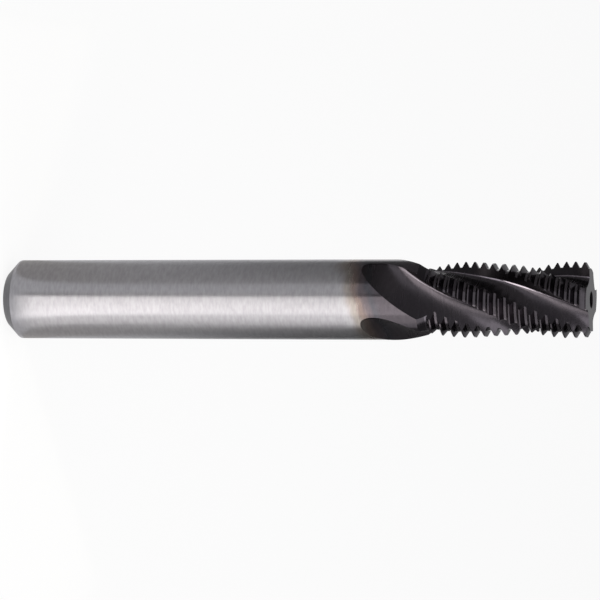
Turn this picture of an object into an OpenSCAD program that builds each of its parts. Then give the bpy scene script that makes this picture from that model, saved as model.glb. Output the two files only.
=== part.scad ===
// Solid carbide thread mill, one ground piece. Millimetres, +Z from the shank end to the cutting end.
// The origin is the centre of the flat rear face, on which the tool stands.

/* [Shank] */
// Diameter of the plain clamping shank
shank_d = 12; // [6:0.5:20]
// Length of the whole tool, rear face to end face
overall_len = 90; // [60:1:140]
// Rear edge chamfer, the same along the axis and across it
rear_chamfer = 1.7; // [0.3:0.1:2.5]
// Step by which the fluted front of the shank is ground under the clamping part
front_step = 0.01; // [0.005:0.005:0.05]

/* [Teeth] */
// Diameter over the tooth crests at the cutting edges
cutter_d = 11.2; // [5:0.1:19]
// Axial distance from one tooth to the next
pitch = 1.5; // [0.5:0.05:2]
// Number of tooth rings along the cutting end
tooth_count = 16; // [4:1:20]
// Width of the flat on a tooth crest, as a share of the pitch
crest_share = 0.125; // [0.05:0.005:0.2]
// Width of the flat between teeth, as a share of the pitch
root_share = 0.23; // [0.1:0.01:0.3]
// Included angle of the tooth flanks
flank_deg = 60; // [50:1:70]
// Clearance angle behind each cutting edge
relief_deg = 7; // [2:0.5:10]
// Distance from the end of the full shank diameter to the middle of the last tooth gap
shoulder_len = 1; // [0.3:0.05:3]
// Slope of the shoulder cone, measured from the axis
shoulder_deg = 37; // [20:1:60]

/* [Flutes] */
// Number of flutes, and of cutting edges
flute_count = 4; // [3:1:6]
// Helix angle of the flutes at the tooth crests, right-hand
helix_deg = 30; // [5:1:40]
// Angle of the first cutting edge at the end face
first_edge_deg = 17; // [0:1:90]
// Distance of the flute floor from the axis
floor_r = 3.2; // [2:0.05:6]
// Distance of the rake face from the parallel plane through the axis
rake_offset = 1; // [0:0.1:2]
// Distance of the rounded gullet's side wall from the axis, as a share of the rake face's
gullet_share = 0.75; // [0.5:0.05:1]
// Tightness of the gullet between floor and rake face, higher is tighter
gullet_power = 4; // [2:0.5:20]
// Direction the flute floor faces, as a share of the way to the next cutting edge
floor_turn = 0.82; // [0.7:0.01:1]
// Radius of the hollow curve of the flute floor
hollow_r = 8; // [5:0.5:30]

/* [Flute run-out] */
// Distance from the end face to the tip of the run-out on the shank
flute_len = 33.6; // [26:0.1:50]
// Length over which the flute floor rises to the shank surface
runout_len = 19; // [8:0.5:30]
// Growth of the rake face distance along the run-out
runout_shift = 0.5; // [0:0.1:3]
// Direction the floor faces at the run-out tip, as a share of the way to the next edge
runout_turn = 0.55; // [0.2:0.05:0.8]
// Curve of the rise, 1 is a straight ramp
runout_power = 1.8; // [1:0.1:2.5]

/* [Coolant hole] */
// Diameter of the hole along the axis
coolant_d = 2.2; // [0.5:0.1:4]

/* [Hidden] */
$fn = 96;
eps = 0.1;
carbide_colour = [0.42, 0.41, 0.43];
shank_r = shank_d / 2;
front_r = shank_r - front_step;
uncut_r = 2 * shank_r;
crest_r = cutter_d / 2;
crest_w = crest_share * pitch;
root_w = root_share * pitch;
tooth_h = (pitch - crest_w - root_w) / 2 / tan(flank_deg / 2);
root_r = crest_r - tooth_h;
thread_start = overall_len - tooth_count * pitch;
shank_end = thread_start - shoulder_len;
flute_tip = overall_len - flute_len;
front_start = flute_tip - pitch;
sector = 360 / flute_count;
twist_rate = tan(helix_deg) / crest_r * 180 / PI;
relief_rate = tan(relief_deg) * crest_r * PI / 180;
rake_tilt = asin(rake_offset / crest_r);
relief_end = 0.75 * sector;

// Angles from one cutting edge back to the next, closer together toward the rake face
column_count = 16;
column_power = 0.8;
columns = [for (i = [0 : column_count - 1]) sector * pow(i / column_count, column_power)];

// Heights of the rings: the run-out on the shank, the shoulder, then four for each tooth
runout_rings = 12;
shoulder_rings = 3;
runout_zs = [for (i = [0 : runout_rings]) flute_tip + (shank_end - flute_tip) * i / runout_rings];
shoulder_zs = [for (i = [1 : shoulder_rings]) shank_end + shoulder_len * i / shoulder_rings];
tooth_zs = [
    for (i = [0 : tooth_count - 1])
        for (dz = [root_w, pitch - crest_w, pitch + crest_w, 2 * pitch - root_w])
            thread_start + i * pitch + dz / 2
];
rings = concat([front_start - eps], runout_zs, shoulder_zs, tooth_zs, [overall_len]);

// Share of the flute's full depth reached at height z, from none at the tip of the run-out
function reach(z) = min(1, max(0, (z - flute_tip) / runout_len));

// Distance of the floor from the axis at height z
function floor_at(z) = shank_r - (shank_r - floor_r) * (1 - pow(1 - reach(z), runout_power));

// Direction the floor faces at height z, measured back from the cutting edge
function floor_dir(z) = sector * (runout_turn + (floor_turn - runout_turn) * reach(z));

// Distance of the rake face from the axis at height z
function rake_at(z) = rake_offset + runout_shift * (1 - reach(z));

// Radius of the hollow curve at height z, flatter toward the tip of the run-out
function hollow_at(z) = hollow_r / max(0.001, reach(z));

// Radius of the hollow floor at angle a, uncut where the ray passes it by
function to_floor(a, z) = let (
    to_centre = floor_at(z) + hollow_at(z),
    turn = a - floor_dir(z),
    room = pow(hollow_at(z), 2) - pow(to_centre * sin(turn), 2)
) room > 0 ? to_centre * cos(turn) - sqrt(room) : uncut_r;

// Radius of the flat rake face at angle a
function to_rake(a, z) = rake_at(z) / max(0.01, cos(a - rake_tilt));

// Radius of the rounded gullet: floor and side wall run into each other
function gullet(a, z) = pow(
    pow(to_floor(a, z), gullet_power) + pow(gullet_share * to_rake(a, z), gullet_power),
    1 / gullet_power
);

// Radius of the flute surface: the gullet, with the rake face standing proud of it
function flute_r(a, z) = max(gullet(a, z), to_rake(a, z));

// Height above the tooth roots, as a ramp cut off at crest and root
function tooth_rise(z) = let (
    turns = (z - thread_start) / pitch,
    offset = abs(turns - floor(turns) - 0.5) * pitch,
    drop = (offset - crest_w / 2) / tan(flank_deg / 2)
) turns < 0 ? 0 : tooth_h - min(tooth_h, max(0, drop));

// Radius of the ground outside before the flutes: shank front, shoulder cone, and the relieved teeth
function outside_r(a, z) = let (
    relieved_root = root_r - (a < relief_end ? relief_rate * a : 0),
    cone_r = front_r - max(0, z - shank_end) * tan(shoulder_deg)
) max(cone_r, relieved_root + tooth_rise(z));

// One point of the fluted front, at angle a behind a cutting edge
function front_point(edge, a, z) = let (
    r = min(outside_r(a, z), flute_r(a, z)),
    turn = first_edge_deg + edge * sector + twist_rate * (z - overall_len) - a
) [r * cos(turn), r * sin(turn), z];

// Fluted and toothed front, one closed skin of rings
module fluted_front() {
    around = flute_count * column_count;
    last = len(rings) - 1;
    points = [
        for (z = rings)
            for (edge = [0 : flute_count - 1])
                for (a = columns)
                    front_point(-edge, a, z)
    ];
    sides = [
        for (k = [0 : last - 1])
            for (i = [0 : around - 1])
                let (j = (i + 1) % around, low = k * around, high = low + around)
                    each [[low + i, low + j, high + j], [low + i, high + j, high + i]]
    ];
    rear_cap = [for (i = [around - 1 : -1 : 0]) i];
    end_cap = [for (i = [0 : around - 1]) last * around + i];
    polyhedron(points, concat(sides, [rear_cap, end_cap]), convexity = 10);
}

// Plain clamping shank with its rear chamfer
module shank() {
    rotate_extrude()
        polygon([
            [0, 0],
            [shank_r - rear_chamfer, 0],
            [shank_r, rear_chamfer],
            [shank_r, front_start],
            [0, front_start]
        ]);
}

// The whole tool: shank and cutting end in one piece, with the coolant hole along the axis
module thread_mill() {
    color(carbide_colour)
        difference() {
            union() {
                shank();
                fluted_front();
            }
            translate([0, 0, -eps])
                cylinder(d = coolant_d, h = overall_len + 2 * eps);
        }
}

thread_mill();
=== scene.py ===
"""Looks of a solid carbide thread mill: fine mesh, ground and coated surfaces, studio and camera.

The row frame is in metres. The tool stands on its rear face at z = 0 with its cutting end up.
The photograph shows it lying across the picture, so the camera is rolled a quarter turn.
"""

import math

import bpy
import numpy as np
from mathutils import Matrix, Vector


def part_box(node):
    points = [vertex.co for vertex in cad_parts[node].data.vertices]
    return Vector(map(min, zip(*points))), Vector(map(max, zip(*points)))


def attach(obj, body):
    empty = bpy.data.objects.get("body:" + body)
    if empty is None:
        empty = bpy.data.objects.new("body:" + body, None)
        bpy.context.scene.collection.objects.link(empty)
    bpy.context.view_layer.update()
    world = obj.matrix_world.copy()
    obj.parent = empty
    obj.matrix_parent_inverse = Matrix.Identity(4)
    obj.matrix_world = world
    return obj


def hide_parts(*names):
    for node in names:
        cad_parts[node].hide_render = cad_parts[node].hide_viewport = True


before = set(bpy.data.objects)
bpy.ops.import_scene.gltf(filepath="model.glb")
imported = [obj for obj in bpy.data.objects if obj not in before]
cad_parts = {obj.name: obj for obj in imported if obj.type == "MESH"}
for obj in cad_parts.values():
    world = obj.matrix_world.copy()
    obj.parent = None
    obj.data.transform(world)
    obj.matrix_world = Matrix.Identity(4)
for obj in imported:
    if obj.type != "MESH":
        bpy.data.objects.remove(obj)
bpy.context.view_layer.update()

MM = 0.001

# Shank and coolant hole, in millimetres, with the overall size from the frame
low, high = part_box("thread_mill")
LENGTH = (high[2] - low[2]) / MM
SHANK_R = (high[0] - low[0]) / 2 / MM
REAR_CHAMFER = 1.7
COOLANT_R = 1.1
COOLANT_CHAMFER = 0.2

# Teeth, in millimetres
CREST_R = 5.6
PITCH = 1.5
TOOTH_COUNT = 16
CREST_W = 0.125 * PITCH
ROOT_W = 0.23 * PITCH
HALF_FLANK = math.tan(math.radians(30))
TOOTH_H = (PITCH - CREST_W - ROOT_W) / 2 / HALF_FLANK
ROOT_R = CREST_R - TOOTH_H
RELIEF_RATE = math.tan(math.radians(7)) * CREST_R
THREAD_START = LENGTH - TOOTH_COUNT * PITCH
SHOULDER_LEN = 1.0
SHANK_END = THREAD_START - SHOULDER_LEN
SHOULDER_SLOPE = math.tan(math.radians(37))

# Flutes, in millimetres and radians
FLUTE_COUNT = 4
SECTOR = math.tau / FLUTE_COUNT
TWIST_RATE = math.tan(math.radians(30)) / CREST_R
FIRST_EDGE = math.radians(17)
FLOOR_R = 3.2
FLOOR_TURN = 0.82
HOLLOW_R = 8.0
UNCUT_R = 2 * SHANK_R
RAKE_OFFSET = 1.0
RAKE_TILT = math.asin(RAKE_OFFSET / CREST_R)
GULLET_SHARE = 0.75
GULLET_POWER = 4
RELIEF_END = 0.75 * SECTOR

# Flute run-out on the shank
FLUTE_LEN = 33.6
FLUTE_TIP = LENGTH - FLUTE_LEN
RUNOUT_LEN = 19.0
RUNOUT_SHIFT = 0.5
RUNOUT_TURN = 0.55
RUNOUT_POWER = 1.8
LEAST_REACH = 0.001
LEAST_COSINE = 0.01

# Mesh columns in each strip behind a cutting edge:
# land, flute floor, painted highlight line beside the crease, rake face, and the rest up to the next edge
STRIP_COLUMNS = [16, 22, 2, 9, 9]
SCAN = np.linspace(0, SECTOR, 1801)
LEAST_TURN = 0.002
CREASE_SHARE = 0.995
LINE_TURN = math.radians(2.2)
SHARP_ANGLE = math.radians(20)

# Mesh rings along the tool
SHANK_FIRST_RING = 4
SHANK_RINGS = 8
RUNOUT_RINGS = 60
RUNOUT_CROWDING = 1.5
SHOULDER_RINGS = 10
FLANK_RINGS = 7

# Painted light and shade of each surface, as a factor on the colour of the shank or of the coating
# Painted shade on the rear chamfer and the rear face
CHAMFER_PAINTED_SHADE = 0.40
# Painted shade on the shoulder cone before the first tooth
SHOULDER_PAINTED_SHADE = 0.42
# Slight painted shade on the coated lands and teeth
LAND_PAINTED_SHADE = 0.88
# Painted shade inside the coolant hole and on its mouth chamfer
HOLE_PAINTED_SHADE = 0.08
# Painted shade on the flute floors, darkest at the run-out tip
FLOOR_HEIGHTS = [FLUTE_TIP, FLUTE_TIP + 4.0]
FLOOR_PAINTED_SHADES = [0.25, 0.80]
# Painted highlight on the strip beside each crease, rising from painted shade at the run-out tip to a bright
# line among the teeth
LINE_HEIGHTS = [FLUTE_TIP, FLUTE_TIP + 4.5, THREAD_START + 4]
LINE_PAINTED_SHADE_AND_HIGHLIGHT = [0.25, 0.6, 3.4]
# Painted shade on the rake faces, darker toward the teeth
RAKE_HEIGHTS = [FLUTE_TIP, THREAD_START]
RAKE_PAINTED_SHADES = [0.80, 0.15]
PLAIN = np.ones(sum(STRIP_COLUMNS))

# Roughness that the flute floors and rake faces have more than the lands
FLUTE_GRAIN = 0.10

# Colours from the ground shank through the heat tint to the coating, with heights in metres
GROUND = (0.361, 0.354, 0.376)
COATING = (0.085, 0.076, 0.087)
TINT_START = 0.0533
TINT_END = 0.0594
TINT_LEAN = 0.25
TINT_STOPS = [
    (0.30, (0.27, 0.245, 0.23)),
    (0.48, (0.19, 0.15, 0.14)),
    (0.66, (0.115, 0.098, 0.108)),
    (0.82, (0.080, 0.078, 0.090)),
]
WOBBLE = 0.0009
WOBBLE_SCALE = 160

# Roughness and its spread along the grinding marks, from the ground shank to the coating
FINISH_START = 0.0531
FINISH_END = 0.0591
ROUGHNESS = (0.38, 0.16)
SPREAD = (0.85, 0.3)
SPREAD_TURN = 0.25

# Fine grain and grinding marks: noise scales along x, y and z, and how much they change
NOISE_RANGE = (0.3, 0.7)
TICK_SCALE = (900, 900, 2800)
TICK_LEVEL = 0.09
GRIND_SCALE = (60, 60, 3500)
GRIND_ROUGHNESS = 0.02
GRIND_BUMP = 0.03
GRIND_DEPTH = 0.0001

# Floor and surroundings
FLOOR_SIZE = 8.0
FLOOR_COLOUR = (0.92, 0.92, 0.92, 1)
WHITE_SHARE = 0.9
WORLD_COLOUR = (0.9, 0.9, 0.92, 1)
WORLD_STRENGTH = 0.3

# Lamps: turn in degrees from the camera side toward +X, then distance, height, width and length in metres,
# and radiance
LAMPS = {
    "key": (14, 0.42, 0.65, 0.40, 0.40, 2.5),
    "key_side": (50, 0.6, 0.29, 0.38, 0.34, 2.1),
    "rim": (75, 0.45, 0.50, 0.25, 0.25, 2.5),
    "back": (180, 0.7, 0.40, 0.7, 0.4, 0.1),
    "top": (90, 0.1, 1.2, 1.2, 1.2, 0.8),
}

# Cards round the tool, which the camera does not see
PANEL_HEIGHT = 0.002
PANEL_COLOUR = (1, 0.97, 0.928, 1)
UPRIGHT = math.pi / 2

# Camera fitted to the photograph, in pixels and millimetres
PHOTO_SIZE = 600
FOCAL_PX = 2942.3
CENTRE_PX = (300.75, 299.51)
SENSOR_WIDTH = 36.0
CAMERA_DISTANCE = 441.0
CAMERA_ELEVATION = math.radians(15.58)
CAMERA_ROLL = math.radians(0.072)
AIM_HEIGHT = 46.0
CLIP_START = 0.01


def flute_radii(a, z):
    """Radii of the rounded gullet and of the flat rake face at angle a behind a cutting edge."""
    reach = np.clip((z - FLUTE_TIP) / RUNOUT_LEN, 0, 1)
    floor = SHANK_R - (SHANK_R - FLOOR_R) * (1 - (1 - reach) ** RUNOUT_POWER)
    floor_dir = SECTOR * (RUNOUT_TURN + (FLOOR_TURN - RUNOUT_TURN) * reach)
    hollow = HOLLOW_R / max(LEAST_REACH, reach)
    room = hollow**2 - ((floor + hollow) * np.sin(a - floor_dir)) ** 2
    on_floor = (floor + hollow) * np.cos(a - floor_dir) - np.sqrt(np.maximum(0, room))
    to_floor = np.where(room > 0, on_floor, UNCUT_R)
    rake = RAKE_OFFSET + RUNOUT_SHIFT * (1 - reach)
    to_rake = rake / np.maximum(LEAST_COSINE, np.cos(a - RAKE_TILT))
    gullet = (to_floor**GULLET_POWER + (GULLET_SHARE * to_rake) ** GULLET_POWER) ** (1 / GULLET_POWER)
    return gullet, to_rake


def outside_radius(a, z):
    """Radius before the flutes are ground: rear chamfer, shank, shoulder cone, and the relieved teeth."""
    if z < SHANK_END:
        return np.full_like(a, min(SHANK_R, SHANK_R - REAR_CHAMFER + z))
    root = ROOT_R - np.where(a < RELIEF_END, RELIEF_RATE * a, 0)
    turns = max(0, (z - THREAD_START) / PITCH)
    offset = abs(turns - math.floor(turns) - 0.5) * PITCH
    rise = TOOTH_H - min(TOOTH_H, max(0, (offset - CREST_W / 2) / HALF_FLANK))
    return np.maximum(SHANK_R - (z - SHANK_END) * SHOULDER_SLOPE, root + rise)


def first_above(values):
    """Angle at which values sampled over SCAN first rise above zero, or the end of the scan."""
    above = np.flatnonzero(values > 0)
    if len(above) == 0:
        return SECTOR
    i = max(1, above[0])
    step = np.clip(values[i - 1] / (values[i - 1] - values[i]), 0, 1)
    return SCAN[i - 1] + step * (SCAN[1] - SCAN[0])


def column_angles(z):
    """Angles behind one cutting edge at height z, with columns on the heel, the crease and the rake edge."""
    gullet, rake = flute_radii(SCAN, z)
    cut = outside_radius(SCAN, z) - np.maximum(gullet, rake)
    if z > FLUTE_TIP and np.any(cut > 0):
        heel = first_above(cut)
        edge = SECTOR - first_above(cut[::-1])
    else:
        heel = edge = RUNOUT_TURN * SECTOR
    heel = min(heel, edge - 2 * LEAST_TURN)
    edge = min(edge, SECTOR - LEAST_TURN)
    crease = min(first_above(rake - gullet), heel + CREASE_SHARE * (edge - heel))
    line = crease - min(LINE_TURN, (crease - heel) / 2)
    marks = [0, heel, line, crease, edge, SECTOR]
    strips = zip(marks, marks[1:], STRIP_COLUMNS)
    return np.concatenate([np.linspace(start, end, n, endpoint=False) for start, end, n in strips])


def ring_heights():
    """Heights of the rings: chamfer, shank, run-out, shoulder, and every corner and flank of the teeth."""
    shank = [0, REAR_CHAMFER, *np.linspace(SHANK_FIRST_RING, FLUTE_TIP, SHANK_RINGS)]
    shares = np.linspace(0, 1, RUNOUT_RINGS)[1:] ** RUNOUT_CROWDING
    runout = FLUTE_TIP + (SHANK_END - FLUTE_TIP) * shares
    shoulder = np.linspace(SHANK_END, THREAD_START, SHOULDER_RINGS)[1:]
    flank = np.linspace(ROOT_W / 2, (PITCH - CREST_W) / 2, FLANK_RINGS)
    tooth = np.concatenate([flank, PITCH - flank[::-1]])
    teeth = np.concatenate([THREAD_START + i * PITCH + tooth for i in range(TOOTH_COUNT)])
    return np.concatenate([shank, runout, shoulder, teeth, [LENGTH]])


def ring_points(a, r, z, turn_z):
    """Points of one ring: the radii r at the angles a behind each cutting edge, turned with the helix."""
    start = np.repeat(np.arange(FLUTE_COUNT) * SECTOR, len(a))
    turn = FIRST_EDGE + TWIST_RATE * (turn_z - LENGTH) - start - np.tile(a, FLUTE_COUNT)
    around = np.tile(np.broadcast_to(r, a.shape), FLUTE_COUNT)
    return np.stack([around * np.cos(turn), around * np.sin(turn), np.full_like(turn, z)], -1)


def outside_ring(z):
    """Points of the ring at height z on the outside of the tool."""
    a = column_angles(z)
    gullet, rake = flute_radii(a, z)
    r = np.minimum(outside_radius(a, z), np.maximum(gullet, rake))
    return ring_points(a, r, z, max(z, FLUTE_TIP))


def strip_painted_shading_and_grain(z):
    """Painted shade and painted highlight, and added roughness, of the faces that start at the outside ring
    of height z.
    """
    if z == 0:
        return PLAIN * CHAMFER_PAINTED_SHADE, 0 * PLAIN
    if z < FLUTE_TIP or z >= LENGTH:
        return PLAIN, 0 * PLAIN
    land = SHOULDER_PAINTED_SHADE if SHANK_END <= z < THREAD_START else LAND_PAINTED_SHADE
    floor = np.interp(z, FLOOR_HEIGHTS, FLOOR_PAINTED_SHADES)
    line = np.interp(z, LINE_HEIGHTS, LINE_PAINTED_SHADE_AND_HIGHLIGHT)
    rake = min(floor, np.interp(z, RAKE_HEIGHTS, RAKE_PAINTED_SHADES))
    painted_shading = np.repeat([land, floor, line, rake, land], STRIP_COLUMNS)
    grain = np.repeat([0.0, FLUTE_GRAIN, 0.0, FLUTE_GRAIN, 0.0], STRIP_COLUMNS)
    return painted_shading, grain


def tool_mesh():
    """One closed skin: the outside from the rear face to the end face, and back down the coolant hole."""
    rings, painted_shadings, grains = [], [], []
    for z in ring_heights():
        rings.append(outside_ring(z))
        painted_shading, grain = strip_painted_shading_and_grain(z)
        painted_shadings.append(painted_shading)
        grains.append(grain)
    mouth = COOLANT_R + COOLANT_CHAMFER
    # The coolant hole carries painted shade, and the rear face the chamfer's painted shade
    inside = [
        (mouth, LENGTH, LENGTH, HOLE_PAINTED_SHADE),
        (COOLANT_R, LENGTH - COOLANT_CHAMFER, LENGTH, HOLE_PAINTED_SHADE),
        (COOLANT_R, COOLANT_CHAMFER, FLUTE_TIP, HOLE_PAINTED_SHADE),
        (mouth, 0, FLUTE_TIP, CHAMFER_PAINTED_SHADE),
    ]
    for r, z, turn_z, painted_shading in inside:
        rings.append(ring_points(column_angles(turn_z), r, z, turn_z))
        painted_shadings.append(PLAIN * painted_shading)
        grains.append(0 * PLAIN)
    around = FLUTE_COUNT * len(PLAIN)
    count = len(rings)
    faces = []
    for k in range(count):
        here, there = k * around, (k + 1) % count * around
        for i in range(around):
            j = (i + 1) % around
            faces.append((here + i, there + i, there + j, here + j))
    mesh = bpy.data.meshes.new("thread_mill_fine")
    mesh.from_pydata((np.concatenate(rings) * MM).tolist(), [], faces)
    # Face values: painted light and shade on the colour, and added roughness
    for name, rows in (("painted_shading", painted_shadings), ("grain", grains)):
        values = np.concatenate([np.tile(row, FLUTE_COUNT) for row in rows])
        mesh.attributes.new(name, "FLOAT", "FACE").data.foreach_set("value", values.astype(np.float32))
    mesh.validate()
    mesh.shade_smooth()
    mesh.set_sharp_from_angle(angle=SHARP_ANGLE)
    return mesh


class Nodes:
    """Short way to add and link shader nodes."""

    def __init__(self, tree):
        self.tree = tree

    def add(self, kind, **values):
        """New node of one kind, with the given settings."""
        node = self.tree.nodes.new(kind)
        for key, value in values.items():
            setattr(node, key, value)
        return node

    def link(self, source, target):
        """Link an output to an input."""
        self.tree.links.new(source, target)

    def mapped(self, value, from_low, from_high, to_low=0.0, to_high=1.0):
        """Value carried from one range to another, and held at its ends."""
        node = self.add("ShaderNodeMapRange")
        self.link(value, node.inputs["Value"])
        node.inputs["From Min"].default_value = from_low
        node.inputs["From Max"].default_value = from_high
        node.inputs["To Min"].default_value = to_low
        node.inputs["To Max"].default_value = to_high
        return node.outputs["Result"]

    def combined(self, operation, *values):
        """Result of a sum or product of outputs."""
        node = self.add("ShaderNodeMath", operation=operation)
        for i, value in enumerate(values):
            self.link(value, node.inputs[i])
        return node.outputs[0]

    def noise(self, place, scale, detail):
        """Noise over a place."""
        node = self.add("ShaderNodeTexNoise")
        node.inputs["Scale"].default_value = scale
        node.inputs["Detail"].default_value = detail
        self.link(place, node.inputs["Vector"])
        return node.outputs["Fac"]

    def stretched(self, place, scale):
        """Place scaled along each axis."""
        node = self.add("ShaderNodeMapping")
        node.inputs["Scale"].default_value = scale
        self.link(place, node.inputs["Vector"])
        return node.outputs["Vector"]

    def attribute(self, name):
        """Face value stored in the mesh."""
        return self.add("ShaderNodeAttribute", attribute_name=name).outputs["Fac"]


def new_material(name):
    """Material with its nodes, and its standard shader."""
    material = bpy.data.materials.new(name)
    material.use_nodes = True
    return material, Nodes(material.node_tree), material.node_tree.nodes["Principled BSDF"]


def tint_colour(nodes, height):
    """Colour at a height: ground metal, heat tint, coating."""
    tint = nodes.add("ShaderNodeValToRGB")
    tint.color_ramp.interpolation = "EASE"
    for position, colour in TINT_STOPS:
        tint.color_ramp.elements.new(position).color = (*colour, 1)
    tint.color_ramp.elements[0].color = (*GROUND, 1)
    tint.color_ramp.elements[-1].color = (*COATING, 1)
    nodes.link(nodes.mapped(height, TINT_START, TINT_END), tint.inputs["Fac"])
    return tint.outputs["Color"]


def carbide_material():
    """Fine ground carbide on the shank, heat-tinted where the dark coating of the cutting end fades in."""
    material, nodes, shader = new_material("carbide")
    place = nodes.add("ShaderNodeTexCoord").outputs["Object"]
    axes = nodes.add("ShaderNodeSeparateXYZ")
    nodes.link(place, axes.inputs[0])

    # Height that leans across the tool, so that the coating starts further front on its +X side
    leaned = nodes.add("ShaderNodeMath", operation="MULTIPLY_ADD")
    nodes.link(axes.outputs["X"], leaned.inputs[0])
    leaned.inputs[1].default_value = -TINT_LEAN
    nodes.link(axes.outputs["Z"], leaned.inputs[2])
    leaned = leaned.outputs[0]

    # Colour: tint with a wavering edge, times the painted light and shade of the face and a fine grain
    wobble = nodes.mapped(nodes.noise(place, WOBBLE_SCALE, 2), *NOISE_RANGE, -WOBBLE, WOBBLE)
    colour = tint_colour(nodes, nodes.combined("ADD", leaned, wobble))
    ticks = nodes.noise(nodes.stretched(place, TICK_SCALE), 1, 2)
    mottle = nodes.mapped(ticks, *NOISE_RANGE, 1 - TICK_LEVEL, 1 + TICK_LEVEL)
    darken = nodes.add("ShaderNodeVectorMath", operation="SCALE")
    nodes.link(colour, darken.inputs["Vector"])
    nodes.link(nodes.combined("MULTIPLY", nodes.attribute("painted_shading"), mottle), darken.inputs["Scale"])
    nodes.link(darken.outputs["Vector"], shader.inputs["Base Color"])

    # Roughness and bump: grinding marks round the tool
    grind = nodes.noise(nodes.stretched(place, GRIND_SCALE), 1, 3)
    streak = nodes.mapped(grind, *NOISE_RANGE, -GRIND_ROUGHNESS, GRIND_ROUGHNESS)
    level = nodes.mapped(leaned, FINISH_START, FINISH_END, *ROUGHNESS)
    roughness = nodes.combined("ADD", level, streak)
    nodes.link(nodes.combined("ADD", roughness, nodes.attribute("grain")), shader.inputs["Roughness"])
    bump = nodes.add("ShaderNodeBump")
    bump.inputs["Strength"].default_value = GRIND_BUMP
    bump.inputs["Distance"].default_value = GRIND_DEPTH
    nodes.link(grind, bump.inputs["Height"])
    nodes.link(bump.outputs["Normal"], shader.inputs["Normal"])

    # Metal whose reflections spread across the grinding marks
    tangent = nodes.add("ShaderNodeTangent", direction_type="RADIAL", axis="Z")
    nodes.link(tangent.outputs["Tangent"], shader.inputs["Tangent"])
    nodes.link(nodes.mapped(leaned, FINISH_START, FINISH_END, *SPREAD), shader.inputs["Anisotropic"])
    shader.inputs["Anisotropic Rotation"].default_value = SPREAD_TURN
    shader.inputs["Metallic"].default_value = 1
    return material


def floor_plane():
    """Plain pale floor under the tool, nearly white as seen, with the shadow kept."""
    bpy.ops.mesh.primitive_plane_add(size=FLOOR_SIZE, location=(0, 0, 0))
    floor = bpy.context.object
    floor.name = "floor"
    material, nodes, shader = new_material("floor")
    shader.inputs["Base Color"].default_value = FLOOR_COLOUR
    shader.inputs["Roughness"].default_value = 1
    shader.inputs["Specular IOR Level"].default_value = 0
    ray = nodes.add("ShaderNodeLightPath")
    seen = nodes.combined("MAXIMUM", ray.outputs["Is Camera Ray"], ray.outputs["Is Glossy Ray"])
    white = nodes.add("ShaderNodeEmission")
    blend = nodes.add("ShaderNodeMixShader")
    nodes.link(nodes.mapped(seen, 0, 1, 0, WHITE_SHARE), blend.inputs["Fac"])
    nodes.link(shader.outputs["BSDF"], blend.inputs[1])
    nodes.link(white.outputs["Emission"], blend.inputs[2])
    nodes.link(blend.outputs["Shader"], material.node_tree.nodes["Material Output"].inputs["Surface"])
    floor.data.materials.append(material)
    return floor


def softbox(name, turn_deg, distance, height, width, tall, radiance):
    """Area lamp aimed at the tool. turn_deg is measured round the tool from the camera side, toward +X."""
    turn = math.radians(turn_deg)
    lamp = bpy.data.lights.new(name, "AREA")
    lamp.shape = "RECTANGLE"
    lamp.size = width
    lamp.size_y = tall
    lamp.energy = radiance * math.pi * width * tall
    light = bpy.data.objects.new(name, lamp)
    light.location = (distance * math.sin(turn), -distance * math.cos(turn), height)
    aim = Vector((0, 0, LENGTH / 2 * MM)) - light.location
    light.rotation_euler = aim.to_track_quat("-Z", "Y").to_euler()
    light.visible_camera = False
    bpy.context.collection.objects.link(light)


def light_panel(name, turns_deg, reaches, radiance):
    """Glowing card lying round the tool, a wedge between two turns and two distances from the axis."""
    first, last = (math.radians(turn) for turn in turns_deg)
    near, far = reaches
    corners = [(first, near), (last, near), (last, far), (first, far)]
    points = [(reach * math.sin(turn), -reach * math.cos(turn), PANEL_HEIGHT) for turn, reach in corners]
    mesh = bpy.data.meshes.new(name)
    mesh.from_pydata(points, [], [(0, 1, 2, 3)])
    panel = bpy.data.objects.new(name, mesh)
    panel.visible_camera = False
    panel.visible_shadow = False
    material, _, shader = new_material(name)
    shader.inputs["Base Color"].default_value = (0, 0, 0, 1)
    shader.inputs["Emission Color"].default_value = PANEL_COLOUR
    shader.inputs["Emission Strength"].default_value = radiance
    mesh.materials.append(material)
    bpy.context.collection.objects.link(panel)
    return panel


def flag(name, location, rotation, width, tall, grey):
    """Dark card near the tool that only shows in its reflections, as a studio flag does."""
    bpy.ops.mesh.primitive_plane_add(size=1, location=location, rotation=rotation)
    card = bpy.context.object
    card.name = name
    card.scale = (width, tall, 1)
    card.visible_camera = False
    card.visible_diffuse = False
    card.visible_shadow = False
    material, _, shader = new_material(name)
    shader.inputs["Base Color"].default_value = (grey, grey, grey, 1)
    shader.inputs["Roughness"].default_value = 1
    card.data.materials.append(material)
    return card


def studio_world():
    """Even, dim surroundings."""
    world = bpy.data.worlds.new("studio")
    world.use_nodes = True
    background = world.node_tree.nodes["Background"]
    background.inputs["Color"].default_value = WORLD_COLOUR
    background.inputs["Strength"].default_value = WORLD_STRENGTH
    bpy.context.scene.world = world


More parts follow.
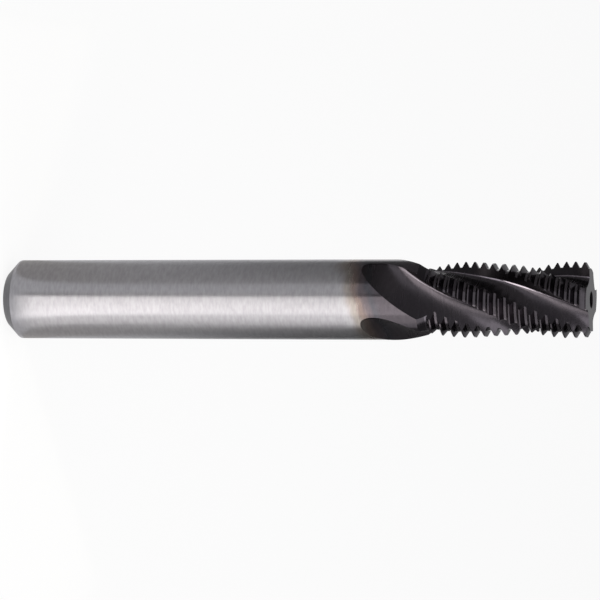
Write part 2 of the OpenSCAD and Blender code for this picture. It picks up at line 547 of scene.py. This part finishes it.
def photo_camera():
    """Camera that looks down past the cutting end, rolled so that the tool lies across the picture."""
    lens = bpy.data.cameras.new("camera")
    lens.sensor_width = SENSOR_WIDTH
    lens.lens = SENSOR_WIDTH * FOCAL_PX / PHOTO_SIZE
    lens.shift_x = (PHOTO_SIZE / 2 - CENTRE_PX[0]) / PHOTO_SIZE
    lens.shift_y = (CENTRE_PX[1] - PHOTO_SIZE / 2) / PHOTO_SIZE
    lens.clip_start = CLIP_START
    camera = bpy.data.objects.new("camera", lens)
    sin_e, cos_e = math.sin(CAMERA_ELEVATION), math.cos(CAMERA_ELEVATION)
    right, up, back = Vector((0, sin_e, cos_e)), Vector((-1, 0, 0)), Vector((0, -cos_e, sin_e))
    turned = Matrix((right, up, back)).transposed() @ Matrix.Rotation(CAMERA_ROLL, 3, "Z")
    eye = Vector((0, 0, AIM_HEIGHT * MM)) + back * CAMERA_DISTANCE * MM
    camera.matrix_world = Matrix.Translation(eye) @ turned.to_4x4()
    bpy.context.collection.objects.link(camera)
    bpy.context.scene.camera = camera


tool = bpy.data.objects.new("thread_mill_fine", tool_mesh())
bpy.context.collection.objects.link(tool)
tool.data.materials.append(carbide_material())
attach(tool, "root")
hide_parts("thread_mill")

floor_plane()

for lamp_name, lamp_values in LAMPS.items():
    softbox(lamp_name, *lamp_values)

# Glowing cards: first and last turn in degrees, nearest and farthest reach in metres, radiance
light_panel("panel_gap", (-15, -8), (0.010, 0.26), 0.15)
light_panel("panel_left", (-130, -45), (0.0065, 0.06), 0.6)
light_panel("panel_right", (74, 130), (0.0065, 0.06), 0.7)
light_panel("panel_near", (-8, 14), (0.010, 0.26), 2.95)
light_panel("panel", (14, 44), (0.010, 0.26), 3.2)
light_panel("panel_side", (44, 72), (0.010, 0.26), 1.48)
light_panel("panel_far", (8, 80), (0.35, 0.80), 3.0)
light_panel("panel_low", (72, 100), (0.08, 0.14), 1.2)

# Dark cards: place in metres, rotation in radians, width and height in metres, grey
flag("flag_left", (-0.09, 0.01, 0.05), (UPRIGHT, 0, UPRIGHT), 0.20, 0.10, 0.28)
flag("flag_right", (0.08, 0.045, 0.05), (UPRIGHT, 0, 2.0), 0.12, 0.10, 0.28)

studio_world()
photo_camera()
bpy.context.scene.view_settings.view_transform = "Standard"
